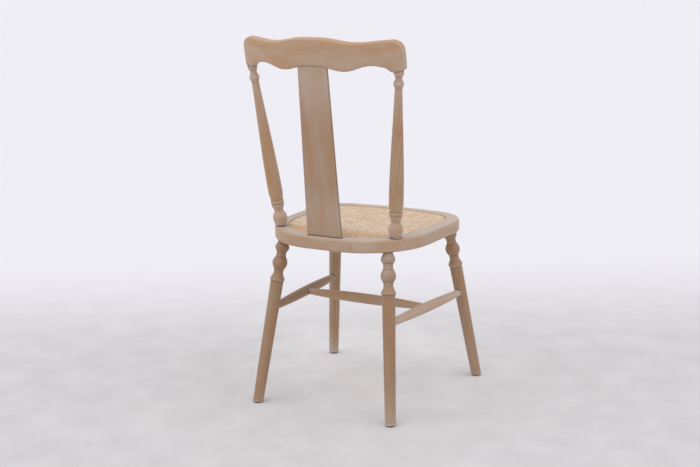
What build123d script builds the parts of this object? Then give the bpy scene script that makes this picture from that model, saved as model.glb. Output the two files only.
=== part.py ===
from build123d import *
from math import cos, radians, sin, sqrt
import os

# A side chair in turned and sawn hardwood with a woven cane seat.
# It stands on the floor at Z = 0 and faces -Y, with the origin under the middle of its box.
# All sizes are millimetres.

# Seat frame: four bowed or straight sides with rounded corners, seen from above
seat_height = 460.0
frame_thickness = 33.0
seat_front_y = -221.0
seat_front_bow = 28.2
seat_front_width = 449.0
seat_back_y = 203.6
seat_back_width = 423.4
front_corner_radius = 99.5
back_corner_radius = 174.0
frame_width = 50.0
frame_top_round = 7.0
frame_bottom_round = 5.0

# Cane and the groove that holds its edge
cane_border = 35.0
groove_width = 5.0
groove_depth = 8.0
cane_thickness = 1.6
cane_below_top = 1.0
cane_tuck = 5.0
cane_opening_count = 12
cane_opening_share = 0.48
cane_opening_margin = 3.0
spline_below_top = 0.4

# Joints of the frame's six segments
front_joint_x = 118.0
side_joint_y = 36.0
back_joint_x = 85.0
dowel_diameter = 8.0
dowel_length = 36.0
dowel_spacing = 18.0
dowel_end_room = 1.0

# Legs, each turned about a line from the floor to the underside of the frame
front_foot_x = 228.3
front_foot_y = -234.4
front_leg_top_x = 174.5
front_leg_top_y = -168.8
back_foot_x = 197.0
back_foot_y = 220.4
back_leg_top_x = 153.4
back_leg_top_y = 140.7
leg_foot_diameter = 27.6
leg_plain_diameter = 34.0
leg_throat_diameter = 22.5
leg_throat_height = 11.5
leg_bead_top_diameter = 30.4
leg_bead_diameter = 36.8
leg_bead_height = 18.5
leg_neck_diameter = 25.0
leg_neck_edge_diameter = 27.6
leg_upper_neck_height = 16.0
leg_ball_diameter = 39.0
leg_ball_height = 30.5
leg_lower_neck_height = 16.5
leg_flare_height = 9.0
leg_ring_edge_diameter = 36.8
leg_ring_diameter = 38.4
leg_ring_height = 6.0
leg_step_height = 1.5
leg_foot_round = 1.5
leg_tenon_diameter = 18.0
leg_tenon_length = 24.0

# Back posts, each turned about a line from the top of the frame to the crest rail
post_foot_x = 167.2
post_foot_y = 126.0
post_head_x = 208.0
post_base_diameter = 26.8
post_ball_diameter = 37.2
post_ball_peak_height = 23.5
post_ball_height = 36.5
post_neck_diameter = 23.4
post_neck_edge_diameter = 28.0
post_neck_height = 13.5
post_flare_height = 5.0
post_small_bead_diameter = 32.8
post_small_bead_height = 5.5
post_bead_edge_diameter = 31.0
post_large_bead_diameter = 34.6
post_large_bead_height = 11.0
post_shoulder_height = 20.0
post_shoulder_diameter = 35.0
post_body_diameter = 37.1
post_body_end_diameter = 18.7
post_body_shares = ((0.125, 0.995), (0.292, 0.935), (0.552, 0.787), (0.75, 0.652), (0.911, 0.551))
post_cone_height = 11.5
post_ring_diameter = 26.2
post_ring_height = 4.0
post_cove_height = 19.5
post_cove_diameter = 17.5
post_collar_diameter = 24.4
post_collar_height = 8.0
post_collar_bulge = 0.5
post_foot_tenon_diameter = 16.0
post_foot_tenon_length = 24.0
post_head_tenon_diameter = 13.0
post_head_tenon_length = 26.0

# Crest rail, sawn with a bow in plan and waves in elevation, and leaning back
crest_y = 223.7
crest_z = 882.2
crest_rake = 10.0
crest_bow_radius = 505.0
crest_thickness = 22.0
crest_half_length = 223.0
crest_height = 78.3
crest_ear_height = 67.0
crest_ear_radius = 27.0
crest_boss_drop = 9.0
crest_boss_corner = 7.0
crest_edge_round = 3.0
crest_top_shares = ((0.202, 0.975), (0.404, 0.866), (0.583, 0.827), (0.74, 0.851))
crest_bottom_share = 0.147
crest_bottom_shares = (
    (0.134, 0.116),
    (0.269, 0.015),
    (0.426, -0.024),
    (0.56, 0.077),
    (0.673, 0.124),
    (0.762, 0.084),
    (0.834, 0.004),
)
crest_boss_share = 0.915

# Splat, a flat board let into the crest rail and the back of the frame
splat_back_y = 192.5
splat_rake = 5.48
splat_thickness = 8.0
splat_bottom_width = 98.4
splat_top_width = 82.0
splat_bottom_depth = 14.0
splat_top_depth = 13.0
splat_edge_round = 1.5

# Stretchers, as shares of the way from a foot up to its leg's top, or from back to front
side_stretcher_back_share = 0.584
side_stretcher_front_share = 0.572
side_stretcher_end_diameter = 18.5
side_stretcher_middle_diameter = 26.5
cross_stretcher_share = 0.511
cross_stretcher_end_diameter = 16.5
cross_stretcher_middle_diameter = 27.5
tenon_past_axis = 4.0
stretcher_shank = 3.0

# Floor glides with a nail each
glide_height = 3.5
glide_diameter = 22.0
glide_round = 1.0
nail_diameter = 2.2
nail_length = 16.0
nail_head_diameter = 6.0
nail_head_height = 1.2
nail_head_recess = 2.0

# Fits
glue_gap = 0.1
overrun = 12.0

frame_underside = seat_height - frame_thickness
up = Vector(0, 0, 1)
across = Vector(1, 0, 0)


def turning_plane(start, end):
    """A plane whose Y runs from start to end and whose X is the radius of a turning."""
    along = (end - start).normalized()
    radial = along.cross(up).normalized()
    return Plane(origin=start, x_dir=radial, z_dir=radial.cross(along))


def cross_plane(start, end, distance):
    """A plane square to the line from start to end, at a distance from start."""
    along = (end - start).normalized()
    return Plane(origin=start + along * distance, z_dir=along)


def mirrored_point(point, side):
    """The point for one side of the chair, where side is 1 on the left and -1 on the right."""
    return Vector(side * point.X, point.Y, point.Z)


def finish(piece, name):
    """Labels a finished piece and writes it."""
    piece.part.label = name
    export_step(piece.part, f"parts/{name}.step")


os.makedirs("parts", exist_ok=True)
sides = {"left": 1, "right": -1}

# Lines of the members
front_foot = Vector(front_foot_x, front_foot_y, 0)
front_leg_top = Vector(front_leg_top_x, front_leg_top_y, frame_underside)
back_foot = Vector(back_foot_x, back_foot_y, 0)
back_leg_top = Vector(back_leg_top_x, back_leg_top_y, frame_underside)
side_back_joint = back_foot + (back_leg_top - back_foot) * side_stretcher_back_share
side_front_joint = front_foot + (front_leg_top - front_foot) * side_stretcher_front_share
cross_joint = side_back_joint + (side_front_joint - side_back_joint) * cross_stretcher_share
post_foot = Vector(post_foot_x, post_foot_y, seat_height)

# The crest rail's own directions: along its lean, and square to its face towards the back
crest_lean = Vector(0, sin(radians(crest_rake)), cos(radians(crest_rake)))
crest_back = Vector(0, cos(radians(crest_rake)), -sin(radians(crest_rake)))
crest_origin = Vector(0, crest_y, crest_z)
post_head_bow = crest_bow_radius - sqrt(crest_bow_radius**2 - post_head_x**2)
post_head_in_crest = -crest_back * post_head_bow - crest_lean * crest_boss_drop
post_head = Vector(post_head_x, 0, 0) + crest_origin + post_head_in_crest
splat_lean = Vector(0, sin(radians(splat_rake)), cos(radians(splat_rake)))
splat_rise = (crest_z + crest_height * crest_bottom_share - seat_height) / splat_lean.Z


def splat_board(clearance):
    """The splat's board with both of its let-in ends, larger all round by a clearance."""
    origin = Vector(0, splat_back_y - splat_thickness / 2, seat_height)
    taper = (splat_bottom_width - splat_top_width) / splat_rise / 2
    low = -splat_bottom_depth - clearance
    high = splat_rise + splat_top_depth + clearance
    half = splat_bottom_width / 2 + clearance
    with BuildPart() as board:
        with BuildSketch(Plane(origin=origin, x_dir=(1, 0, 0), z_dir=across.cross(splat_lean))):
            with BuildLine():
                Polyline(
                    (-half + taper * low, low),
                    (half - taper * low, low),
                    (half - taper * high, high),
                    (-half + taper * high, high),
                    close=True,
                )
            make_face()
        extrude(amount=splat_thickness / 2 + clearance, both=True)
        fillet(board.edges().filter_by(lambda edge: edge.length > splat_rise), splat_edge_round)
    return board


def seat_outline():
    """The outline of the seat frame, seen from above."""
    corner_y = seat_front_y + seat_front_bow
    with BuildSketch(Plane.XY.offset(frame_underside)) as outline:
        with BuildLine():
            ThreePointArc(
                (-seat_front_width / 2, corner_y),
                (0, seat_front_y),
                (seat_front_width / 2, corner_y),
            )
            Polyline(
                (seat_front_width / 2, corner_y),
                (seat_back_width / 2, seat_back_y),
                (-seat_back_width / 2, seat_back_y),
                (-seat_front_width / 2, corner_y),
            )
        make_face()
        fillet(outline.vertices().sort_by(Axis.Y)[:2], front_corner_radius)
        fillet(outline.vertices().sort_by(Axis.Y)[-2:], back_corner_radius)
    return outline


def inner_face(inset, height):
    """The face inside the seat outline at an inset, lifted to a height."""
    with BuildSketch(Plane.XY.offset(height)) as inside:
        add(outline.sketch_local)
        offset(amount=-inset)
    return inside.sketch.face()


outline = seat_outline()
groove_outer = inner_face(cane_border, seat_height)
groove_inner = inner_face(cane_border + groove_width, seat_height)
opening = inner_face(frame_width, seat_height)

# The whole ring of the seat frame, before it is parted into segments
with BuildPart() as ring:
    extrude(outline.sketch.face(), amount=frame_thickness)
    fillet(ring.edges().group_by(Axis.Z)[-1], frame_top_round)
    fillet(ring.edges().group_by(Axis.Z)[0], frame_bottom_round)
    extrude(opening, amount=-frame_thickness, mode=Mode.SUBTRACT)
    extrude(groove_outer, amount=-cane_below_top - cane_thickness, mode=Mode.SUBTRACT)
    extrude(groove_outer - groove_inner, amount=-groove_depth, mode=Mode.SUBTRACT)
    for side in sides.values():
        for foot, top in ((front_foot, front_leg_top), (back_foot, back_leg_top)):
            low = mirrored_point(foot, side)
            high = mirrored_point(top, side)
            with BuildSketch(cross_plane(high, high + (high - low), -overrun)):
                Circle(leg_tenon_diameter / 2 + glue_gap)
            extrude(amount=overrun + leg_tenon_length + glue_gap, mode=Mode.SUBTRACT)
        low = mirrored_point(post_foot, side)
        high = mirrored_point(post_head, side)
        with BuildSketch(cross_plane(low, low + (low - high), -overrun)):
            Circle(post_foot_tenon_diameter / 2 + glue_gap)
        extrude(amount=overrun + post_foot_tenon_length + glue_gap, mode=Mode.SUBTRACT)
    add(splat_board(glue_gap).part, mode=Mode.SUBTRACT)


def segment(*cuts):
    """The part of the ring that is left by cuts, each a plane and the side of it that stays."""
    with BuildPart() as piece:
        add(ring.part)
        for plane, keep in cuts:
            split(bisect_by=plane, keep=keep)
    return piece


at_front_left = Plane.YZ.offset(front_joint_x)
at_front_right = Plane.YZ.offset(-front_joint_x)
at_back_left = Plane.YZ.offset(back_joint_x)
at_back_right = Plane.YZ.offset(-back_joint_x)
at_side = Plane.XZ.offset(-side_joint_y)
segments = {
    "seat_rail_front": segment(
        (at_side, Keep.TOP), (at_front_left, Keep.BOTTOM), (at_front_right, Keep.TOP)
    ),
    "seat_rail_left": segment((at_side, Keep.TOP), (at_front_left, Keep.TOP)),
    "seat_rail_right": segment((at_side, Keep.TOP), (at_front_right, Keep.BOTTOM)),
    "seat_corner_left": segment((at_side, Keep.BOTTOM), (at_back_left, Keep.TOP)),
    "seat_corner_right": segment((at_side, Keep.BOTTOM), (at_back_right, Keep.BOTTOM)),
    "seat_rail_back": segment(
        (at_side, Keep.BOTTOM), (at_back_left, Keep.BOTTOM), (at_back_right, Keep.TOP)
    ),
}


def joint_plane(face):
    """A plane on a segment's end face, with X level across the rail."""
    normal = face.normal_at()
    return Plane(origin=face.center(), x_dir=up.cross(normal), z_dir=normal)


joints = []
for name in ("seat_rail_front", "seat_rail_back"):
    ends = segments[name].faces().filter_by(Axis.X).sort_by(Axis.X)
    joints += [joint_plane(ends[0]), joint_plane(ends[-1])]
for name in ("seat_rail_left", "seat_rail_right"):
    joints.append(joint_plane(segments[name].faces().filter_by(Axis.Y).sort_by(Axis.Y)[-1]))


def dowels(clearance, end_room):
    """Two dowels across every joint of the frame, larger by a clearance and an end room."""
    with BuildPart() as pins:
        for joint in joints:
            with BuildSketch(joint):
                with GridLocations(dowel_spacing, 0, 2, 1):
                    Circle(dowel_diameter / 2 + clearance)
            extrude(amount=dowel_length / 2 + end_room, both=True)
    return pins


finish(dowels(0, 0), "frame_dowels")
dowel_holes = dowels(glue_gap, dowel_end_room)
for name, piece in segments.items():
    with BuildPart() as rail:
        add(piece.part)
        add(dowel_holes.part, mode=Mode.SUBTRACT)
    finish(rail, name)

# Cane: a sheet that lies on the frame's inner lip, with its edge turned down in the groove and
# a coarse grid of openings that stands for those of the weave
flange_face = inner_face(cane_border + groove_width - cane_thickness, seat_height - cane_below_top)
flange_inside = inner_face(cane_border + groove_width - glue_gap, seat_height - cane_below_top)
cane_inset = cane_border + groove_width
cane_open_face = inner_face(cane_inset + cane_opening_margin, seat_height - cane_below_top)
cane_opening_pitch = (seat_front_width - 2 * cane_inset) / cane_opening_count
cane_opening_rows = int((seat_back_y - seat_front_y - 2 * cane_inset) / cane_opening_pitch)
cane_opening = cane_opening_pitch * cane_opening_share
cane_middle = Vector(0, (seat_front_y + seat_back_y) / 2, seat_height - cane_below_top)
cane_corners = [(cane_opening * x / 2, cane_opening * y / 2) for x in (-1, 1) for y in (-1, 1)]
with BuildPart() as cane:
    extrude(flange_face, amount=-cane_thickness)
    extrude(flange_face - flange_inside, amount=-cane_thickness - cane_tuck)
    with BuildSketch(Plane.XY.offset(cane_middle.Z)):
        for place in GridLocations(
            cane_opening_pitch, cane_opening_pitch, cane_opening_count, cane_opening_rows
        ).local_locations:
            middle = cane_middle + place.position
            if all(cane_open_face.is_inside(middle + Vector(x, y)) for x, y in cane_corners):
                with Locations((middle.X, middle.Y)):
                    Rectangle(cane_opening, cane_opening)
    extrude(amount=overrun, both=True, mode=Mode.SUBTRACT)
finish(cane, "cane_panel")

# Reed spline that holds the cane's edge in the groove
reed_outside = inner_face(cane_border + glue_gap, seat_height - groove_depth)
reed_inside = inner_face(cane_border + groove_width - cane_thickness - glue_gap, seat_height - groove_depth)
with BuildPart() as reed:
    extrude(reed_outside - reed_inside, amount=groove_depth - spline_below_top)
finish(reed, "cane_spline")

# Legs
leg_upper_height = (
    leg_throat_height
    + leg_bead_height
    + leg_upper_neck_height
    + leg_ball_height
    + leg_lower_neck_height
    + leg_flare_height
    + leg_ring_height
    + leg_step_height
)


def glide_centre(foot, top):
    """The middle of a leg's lower end, where its glide is."""
    return foot + (top - foot) * (glide_height / top.Z)


def turned_leg(foot, top, joint, far_joint):
    """A turned leg from the floor glide to its tenon, bored for a stretcher."""
    length = (top - foot).length
    throat = length - leg_throat_height
    bead = throat - leg_bead_height
    upper_neck = bead - leg_upper_neck_height
    ball = upper_neck - leg_ball_height
    lower_neck = ball - leg_lower_neck_height
    flare = lower_neck - leg_flare_height
    ring_foot = flare - leg_ring_height
    plain = length - leg_upper_height
    with BuildPart() as leg:
        with BuildSketch(turning_plane(foot, top)):
            with BuildLine():
                Polyline(
                    (0, -overrun),
                    (leg_foot_diameter / 2, -overrun),
                    (leg_foot_diameter / 2, 0),
                    (leg_plain_diameter / 2, plain),
                    (leg_ring_edge_diameter / 2, ring_foot),
                )
                ThreePointArc(
                    (leg_ring_edge_diameter / 2, ring_foot),
                    (leg_ring_diameter / 2, (ring_foot + flare) / 2),
                    (leg_ring_edge_diameter / 2, flare),
                )
                Line((leg_ring_edge_diameter / 2, flare), (leg_neck_edge_diameter / 2, lower_neck))
                ThreePointArc(
                    (leg_neck_edge_diameter / 2, lower_neck),
                    (leg_neck_diameter / 2, (lower_neck + ball) / 2),
                    (leg_neck_edge_diameter / 2, ball),
                )
                ThreePointArc(
                    (leg_neck_edge_diameter / 2, ball),
                    (leg_ball_diameter / 2, (ball + upper_neck) / 2),
                    (leg_neck_edge_diameter / 2, upper_neck),
                )
                ThreePointArc(
                    (leg_neck_edge_diameter / 2, upper_neck),
                    (leg_neck_diameter / 2, (upper_neck + bead) / 2),
                    (leg_neck_edge_diameter / 2, bead),
                )
                ThreePointArc(
                    (leg_neck_edge_diameter / 2, bead),
                    (leg_bead_diameter / 2, (bead + throat) / 2),
                    (leg_bead_top_diameter / 2, throat),
                )
                Polyline(
                    (leg_bead_top_diameter / 2, throat),
                    (leg_throat_diameter / 2, length),
                    (leg_throat_diameter / 2, length + overrun),
                    (0, length + overrun),
                    (0, -overrun),
                )
            make_face()
        revolve(axis=Axis(foot, top - foot))
        split(bisect_by=Plane.XY.offset(glide_height), keep=Keep.TOP)
        split(bisect_by=Plane.XY.offset(frame_underside), keep=Keep.BOTTOM)
        fillet(leg.faces().sort_by(Axis.Z)[0].edges(), leg_foot_round)
        with BuildSketch(cross_plane(foot, top, length - overrun)):
            Circle(leg_tenon_diameter / 2)
        extrude(amount=overrun + leg_tenon_length)
        with BuildSketch(cross_plane(joint, far_joint, -tenon_past_axis - glue_gap)):
            Circle(side_stretcher_end_diameter / 2 + glue_gap)
        extrude(amount=tenon_past_axis + glue_gap + leg_plain_diameter, mode=Mode.SUBTRACT)
        end = glide_centre(foot, top)
        with BuildSketch(Plane(origin=end)):
            Circle(nail_diameter / 2 + glue_gap)
        extrude(amount=nail_length, mode=Mode.SUBTRACT)
    return leg


for side_name, side in sides.items():
    for end_name, foot, top, joint, far_joint in (
        ("front", front_foot, front_leg_top, side_front_joint, side_back_joint),
        ("back", back_foot, back_leg_top, side_back_joint, side_front_joint),
    ):
        points = [mirrored_point(point, side) for point in (foot, top, joint, far_joint)]
        finish(turned_leg(*points), f"leg_{end_name}_{side_name}")
        with BuildPart() as glide:
            with BuildSketch():
                with Locations(glide_centre(points[0], points[1]) - up * glide_height):
                    Circle(glide_diameter / 2)
            extrude(amount=glide_height)
            fillet(glide.edges().group_by(Axis.Z)[0], glide_round)
            with Locations(Plane(origin=glide_centre(points[0], points[1]) - up * glide_height, z_dir=-up)):
                CounterBoreHole(
                    nail_diameter / 2 + glue_gap,
                    nail_head_diameter / 2 + glue_gap,
                    nail_head_recess,
                )
        finish(glide, f"foot_glide_{end_name}_{side_name}")

# Nails that hold the glides, one group of like pieces
with BuildPart() as nails:
    for side in sides.values():
        for foot, top in ((front_foot, front_leg_top), (back_foot, back_leg_top)):
            low = mirrored_point(glide_centre(foot, top), side) - up * (glide_height - nail_head_recess)
            with BuildSketch(Plane(origin=low)):
                Circle(nail_diameter / 2)
            extrude(amount=nail_length)
            with BuildSketch(Plane(origin=low)):
                Circle(nail_head_diameter / 2)
            extrude(amount=-nail_head_height)
finish(nails, "glide_nails")

# Back posts
crest_plan = Plane(origin=crest_origin, x_dir=(1, 0, 0), z_dir=crest_lean)
crest_front = Plane(origin=crest_origin, x_dir=(1, 0, 0), z_dir=-crest_back)
crest_seat = crest_plan.offset(-crest_boss_drop)


def turned_post(foot, head):
    """A turned post with a tenon at each end, its collar cut to the crest rail's underside."""
    length = (head - foot).length
    neck = post_ball_height + post_neck_height
    small_bead = neck + post_flare_height
    large_bead = small_bead + post_small_bead_height
    shoulder = large_bead + post_large_bead_height
    body = shoulder + post_shoulder_height
    collar = length - post_collar_height
    cove = collar - post_cove_height
    arris = cove - post_ring_height
    body_end = arris - post_cone_height
    ball_peak = (post_ball_diameter / 2, post_ball_peak_height)
    with BuildPart() as post:
        with BuildSketch(turning_plane(foot, head)):
            with BuildLine():
                Polyline((0, -overrun), (post_base_diameter / 2, -overrun), (post_base_diameter / 2, 0))
                TangentArc(ball_peak, (post_base_diameter / 2, 0), tangent=(0, -1))
                TangentArc(ball_peak, (post_neck_edge_diameter / 2, post_ball_height), tangent=(0, 1))
                ThreePointArc(
                    (post_neck_edge_diameter / 2, post_ball_height),
                    (post_neck_diameter / 2, (post_ball_height + neck) / 2),
                    (post_neck_edge_diameter / 2, neck),
                )
                Line((post_neck_edge_diameter / 2, neck), (post_bead_edge_diameter / 2, small_bead))
                ThreePointArc(
                    (post_bead_edge_diameter / 2, small_bead),
                    (post_small_bead_diameter / 2, (small_bead + large_bead) / 2),
                    (post_bead_edge_diameter / 2, large_bead),
                )
                ThreePointArc(
                    (post_bead_edge_diameter / 2, large_bead),
                    (post_large_bead_diameter / 2, (large_bead + shoulder) / 2),
                    (post_bead_edge_diameter / 2, shoulder),
                )
                ThreePointArc(
                    (post_bead_edge_diameter / 2, shoulder),
                    (post_shoulder_diameter / 2, (shoulder + body) / 2),
                    (post_body_diameter / 2, body),
                )
                Spline(
                    (post_body_diameter / 2, body),
                    *[
                        (post_body_diameter * width_share / 2, body + (body_end - body) * height_share)
                        for height_share, width_share in post_body_shares
                    ],
                    (post_body_end_diameter / 2, body_end),
                )
                Polyline(
                    (post_body_end_diameter / 2, body_end),
                    (post_ring_diameter / 2, arris),
                    (post_ring_diameter / 2, cove),
                )
                ThreePointArc(
                    (post_ring_diameter / 2, cove),
                    (post_cove_diameter / 2, (cove + collar) / 2),
                    (post_collar_diameter / 2, collar),
                )
                ThreePointArc(
                    (post_collar_diameter / 2, collar),
                    (post_collar_diameter / 2 + post_collar_bulge, (collar + length) / 2),
                    (post_collar_diameter / 2, length),
                )
                Polyline(
                    (post_collar_diameter / 2, length),
                    (post_collar_diameter / 2, length + overrun),
                    (0, length + overrun),
                    (0, -overrun),
                )
            make_face()
        revolve(axis=Axis(foot, head - foot))
        split(bisect_by=Plane.XY.offset(seat_height), keep=Keep.TOP)
        split(bisect_by=crest_seat, keep=Keep.BOTTOM)
        with BuildSketch(cross_plane(foot, head, -post_foot_tenon_length)):
            Circle(post_foot_tenon_diameter / 2)
        extrude(amount=post_foot_tenon_length + overrun)
        with BuildSketch(cross_plane(foot, head, length - overrun)):
            Circle(post_head_tenon_diameter / 2)
        extrude(amount=overrun + post_head_tenon_length)
    return post


for side_name, side in sides.items():
    low = mirrored_point(post_foot, side)
    high = mirrored_point(post_head, side)
    finish(turned_post(low, high), f"back_post_{side_name}")

# Splat
finish(splat_board(0), "splat")

# Crest rail
boss_start = crest_half_length * crest_boss_share
crest_bow = crest_bow_radius - sqrt(crest_bow_radius**2 - crest_half_length**2)
crest_top = [(crest_half_length * along, crest_height * high) for along, high in crest_top_shares]
crest_bottom = [(crest_half_length * along, crest_height * high) for along, high in crest_bottom_shares]
with BuildPart() as crest:
    with BuildSketch(crest_front):
        with BuildLine() as half:
            Spline(
                (0, crest_height * crest_bottom_share),
                *crest_bottom,
                (boss_start, -crest_boss_drop),
                tangents=((1, 0), (1, 0)),
            )
            Line((boss_start, -crest_boss_drop), (crest_half_length - crest_boss_corner, -crest_boss_drop))
            TangentArc(
                (crest_half_length - crest_boss_corner, -crest_boss_drop),
                (crest_half_length, crest_boss_corner - crest_boss_drop),
                tangent=(1, 0),
            )
            Line(
                (crest_half_length, crest_boss_corner - crest_boss_drop),
                (crest_half_length, crest_ear_height - crest_ear_radius),
            )
            TangentArc(
                (crest_half_length, crest_ear_height - crest_ear_radius),
                (crest_half_length - crest_ear_radius, crest_ear_height),
                tangent=(0, 1),
            )
            Spline(
                (crest_half_length - crest_ear_radius, crest_ear_height),
                *crest_top[::-1],
                (0, crest_height),
                tangents=((-1, 0), (-1, 0)),
            )
            mirror(about=Plane.YZ)
        make_face()
    extrude(amount=crest_bow * 2 + crest_thickness, both=True)
    with BuildSketch(crest_plan):
        with Locations((0, -crest_bow_radius)):
            Circle(crest_bow_radius + crest_thickness / 2)
            Circle(crest_bow_radius - crest_thickness / 2, mode=Mode.SUBTRACT)
    extrude(amount=crest_height + overrun, both=True, mode=Mode.INTERSECT)
    fillet(crest.faces().sort_by(SortBy.AREA)[-2:].edges(), crest_edge_round)
    for side in sides.values():
        low = mirrored_point(post_foot, side)
        high = mirrored_point(post_head, side)
        with BuildSketch(cross_plane(low, high, (high - low).length - overrun)):
            Circle(post_head_tenon_diameter / 2 + glue_gap)
        extrude(amount=overrun + post_head_tenon_length + glue_gap, mode=Mode.SUBTRACT)
    add(splat_board(glue_gap).part, mode=Mode.SUBTRACT)
finish(crest, "crest_rail")


# Stretchers
def turned_stretcher(start, end, end_diameter, middle_diameter, start_depth, end_depth):
    """A turned stretcher between two axes, swelling in the middle, with a plain shank at each end."""
    length = (end - start).length
    with BuildPart() as stretcher:
        with BuildSketch(turning_plane(start, end)):
            with BuildLine():
                Polyline(
                    (0, -tenon_past_axis),
                    (end_diameter / 2, -tenon_past_axis),
                    (end_diameter / 2, start_depth),
                )
                ThreePointArc(
                    (end_diameter / 2, start_depth),
                    (middle_diameter / 2, (start_depth + length - end_depth) / 2),
                    (end_diameter / 2, length - end_depth),
                )
                Polyline(
                    (end_diameter / 2, length - end_depth),
                    (end_diameter / 2, length + tenon_past_axis),
                    (0, length + tenon_past_axis),
                    (0, -tenon_past_axis),
                )
            make_face()
        revolve(axis=Axis(start, end - start))
    return stretcher


leg_shank = leg_plain_diameter / 2 + stretcher_shank
cross_shank = side_stretcher_middle_diameter / 2 + stretcher_shank
cross_joints = [mirrored_point(cross_joint, side) for side in (1, -1)]
for side_name, side in sides.items():
    start, end = [mirrored_point(point, side) for point in (side_back_joint, side_front_joint)]
    with BuildPart() as side_stretcher:
        add(
            turned_stretcher(
                start, end, side_stretcher_end_diameter, side_stretcher_middle_diameter, leg_shank, leg_shank
            ).part
        )
        near, far = cross_joints[::side]
        with BuildSketch(cross_plane(near, far, -tenon_past_axis - glue_gap)):
            Circle(cross_stretcher_end_diameter / 2 + glue_gap)
        extrude(amount=tenon_past_axis + glue_gap + side_stretcher_middle_diameter, mode=Mode.SUBTRACT)
    finish(side_stretcher, f"side_stretcher_{side_name}")
finish(
    turned_stretcher(
        *cross_joints, cross_stretcher_end_diameter, cross_stretcher_middle_diameter, cross_shank, cross_shank
    ),
    "cross_stretcher",
)
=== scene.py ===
"""A side chair in limed beech with a woven cane seat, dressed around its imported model."""
from __future__ import annotations

import logging
import math
from dataclasses import dataclass, field, replace
from enum import Enum
from functools import partial
from typing import Iterable, Iterator, Mapping, Sequence, Union

import bmesh
import bpy
import numpy as np
from mathutils import Matrix, Vector


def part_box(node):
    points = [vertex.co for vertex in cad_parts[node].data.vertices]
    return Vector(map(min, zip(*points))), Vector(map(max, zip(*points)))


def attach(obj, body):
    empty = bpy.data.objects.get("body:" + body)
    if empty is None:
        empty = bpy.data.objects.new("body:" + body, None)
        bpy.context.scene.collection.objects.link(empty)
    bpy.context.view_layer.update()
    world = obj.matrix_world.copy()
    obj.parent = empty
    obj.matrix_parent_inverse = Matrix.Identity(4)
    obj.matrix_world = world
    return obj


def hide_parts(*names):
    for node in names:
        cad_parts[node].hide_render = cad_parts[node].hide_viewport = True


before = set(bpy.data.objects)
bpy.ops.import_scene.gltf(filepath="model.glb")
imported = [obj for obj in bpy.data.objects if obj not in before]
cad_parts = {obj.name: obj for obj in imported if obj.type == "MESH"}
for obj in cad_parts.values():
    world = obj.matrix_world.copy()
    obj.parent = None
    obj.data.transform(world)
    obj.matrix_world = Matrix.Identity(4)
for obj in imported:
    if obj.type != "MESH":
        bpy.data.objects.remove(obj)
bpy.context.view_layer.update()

logging.basicConfig(level=logging.INFO, format="%(name)s: %(message)s")
log = logging.getLogger("chair")

Tree = bpy.types.NodeTree
Socket = bpy.types.NodeSocket
Linked = Union[Socket, float, Sequence[float]]
Triple = tuple[float, float, float]
Line = tuple[Triple, Triple]
Marks = tuple[tuple[float, float], ...]
Rows = np.ndarray
Material = bpy.types.Material
Piece = bpy.types.Object

MILLIMETRE = 0.001
TOP_SLACK = 1e-5
ACROSS = (1.0, 0.0, 0.0)
WHITE = (1.0, 1.0, 1.0, 1.0)
# A MapRange node takes in order a value, its least and most, and what these two turn into, and
# this setting rounds off both ends of its slope
SMOOTH = {"interpolation_type": "SMOOTHSTEP"}
# A Mix node's colour sockets, by number, because its sockets share their names
MIX_FACTOR, MIX_A, MIX_B, MIX_RESULT = 0, 6, 7, 2
# Noise of scale 1 has blots about half a metre wide, and a wave of scale 1 repeats after this much
NOISE_WIDTH, WAVE_LENGTH = 0.5, math.pi / 10


def linear_colour(hex_code: str) -> tuple[float, float, float, float]:
    """Turns an sRGB hex colour into the linear values that shaders take.

    Args:
        hex_code: Six hex digits, such as "B59A80".

    Returns:
        Linear red, green and blue, and an alpha of 1.
    """
    channels = [int(hex_code[i : i + 2], 16) / 255 for i in (0, 2, 4)]
    red, green, blue = (c / 12.92 if c <= 0.04045 else ((c + 0.055) / 1.055) ** 2.4 for c in channels)
    return red, green, blue, 1.0


def add_node(
    tree: Tree,
    kind: str,
    links: Union[Mapping[Union[str, int], Linked], Sequence[Linked]] = (),
    out: Union[str, int] = 0,
    **settings: object,
) -> Socket | None:
    """Adds a node with its settings, and links or sets its inputs.

    Args:
        tree: The node tree to add to.
        kind: The node's type, without the "ShaderNode" that each starts with.
        links: The socket to link or the value to set, by the input's name or number, or for the
            first inputs in order.
        out: The name or number of the output that is wanted.
        **settings: Properties of the node itself.

    Returns:
        That output, or None from a node that has none.
    """
    node = tree.nodes.new(f"ShaderNode{kind}")
    for name, value in settings.items():
        setattr(node, name, value)
    for key, value in links.items() if isinstance(links, dict) else enumerate(links):
        if isinstance(value, Socket):
            tree.links.new(value, node.inputs[key])
        else:
            node.inputs[key].default_value = value
    return node.outputs[out] if len(node.outputs) else None


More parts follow.
